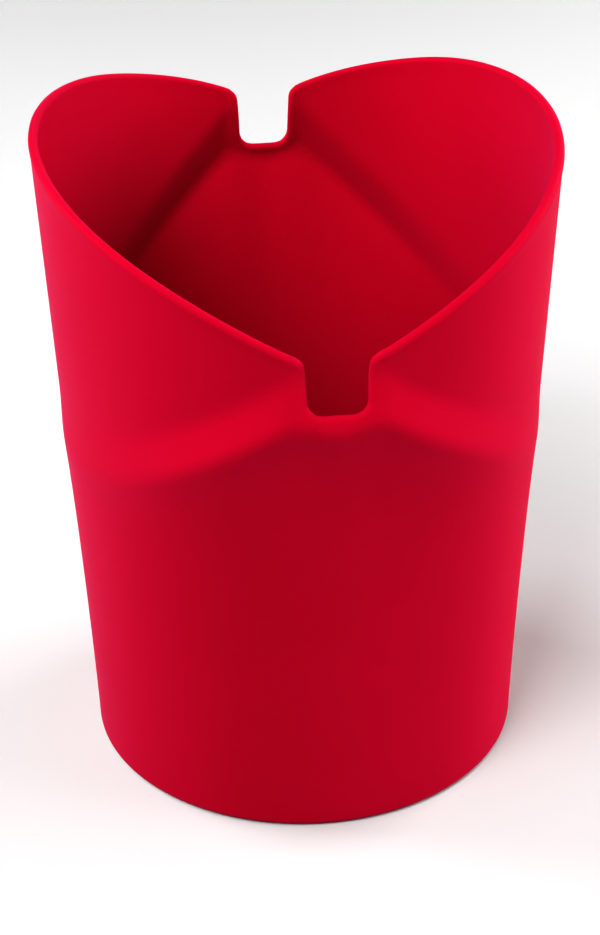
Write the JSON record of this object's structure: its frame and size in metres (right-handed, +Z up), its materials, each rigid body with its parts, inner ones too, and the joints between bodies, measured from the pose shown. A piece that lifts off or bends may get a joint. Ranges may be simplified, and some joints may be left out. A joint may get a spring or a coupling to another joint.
{
  "type": "microwave popcorn popper",
  "caption": "Oval silicone popcorn popper: a deep cup whose two upper lobes fold inwards along slanting creases to close it, with a steam slot front and back.",
  "frame": {"origin": "centre of the base, on the table", "axes": "+Z up, +X from the left flap to the right flap, +Y from the front steam slot to the back one"},
  "size_m": [0.1512, 0.1964, 0.2001],
  "materials": {
    "red_silicone": "satin"
  },
  "bodies": {
    "cup": {"foot_ring": "red_silicone", "cup_floor": "red_silicone", "cup_wall": "red_silicone", "left_crease_shoulder": "red_silicone", "right_crease_shoulder": "red_silicone", "front_slot_lip": "red_silicone", "back_slot_lip": "red_silicone"},
    "left_flap": {"left_flap_panel": "red_silicone", "left_flap_bead": "red_silicone", "left_crease_web": "red_silicone", "left_front_gusset": "red_silicone", "left_back_gusset": "red_silicone"},
    "right_flap": {"right_flap_panel": "red_silicone", "right_flap_bead": "red_silicone", "right_crease_web": "red_silicone", "right_front_gusset": "red_silicone", "right_back_gusset": "red_silicone"}
  },
  "joints": [
    {"name": "left_flap_fold", "type": "hinge", "parent": "cup", "child": "left_flap", "pos_m": [-0.062, 0, 0.109], "axis": [0, 1, 0], "range_deg": [0, 110], "stiffness_Nm_per_rad": 0.12, "deforming": ["left_crease_web", "left_front_gusset", "left_back_gusset"]},
    {"name": "right_flap_fold", "type": "hinge", "parent": "cup", "child": "right_flap", "pos_m": [0.062, 0, 0.109], "axis": [0, -1, 0], "range_deg": [0, 96], "stiffness_Nm_per_rad": 0.12, "deforming": ["right_crease_web", "right_front_gusset", "right_back_gusset"]}
  ]
}
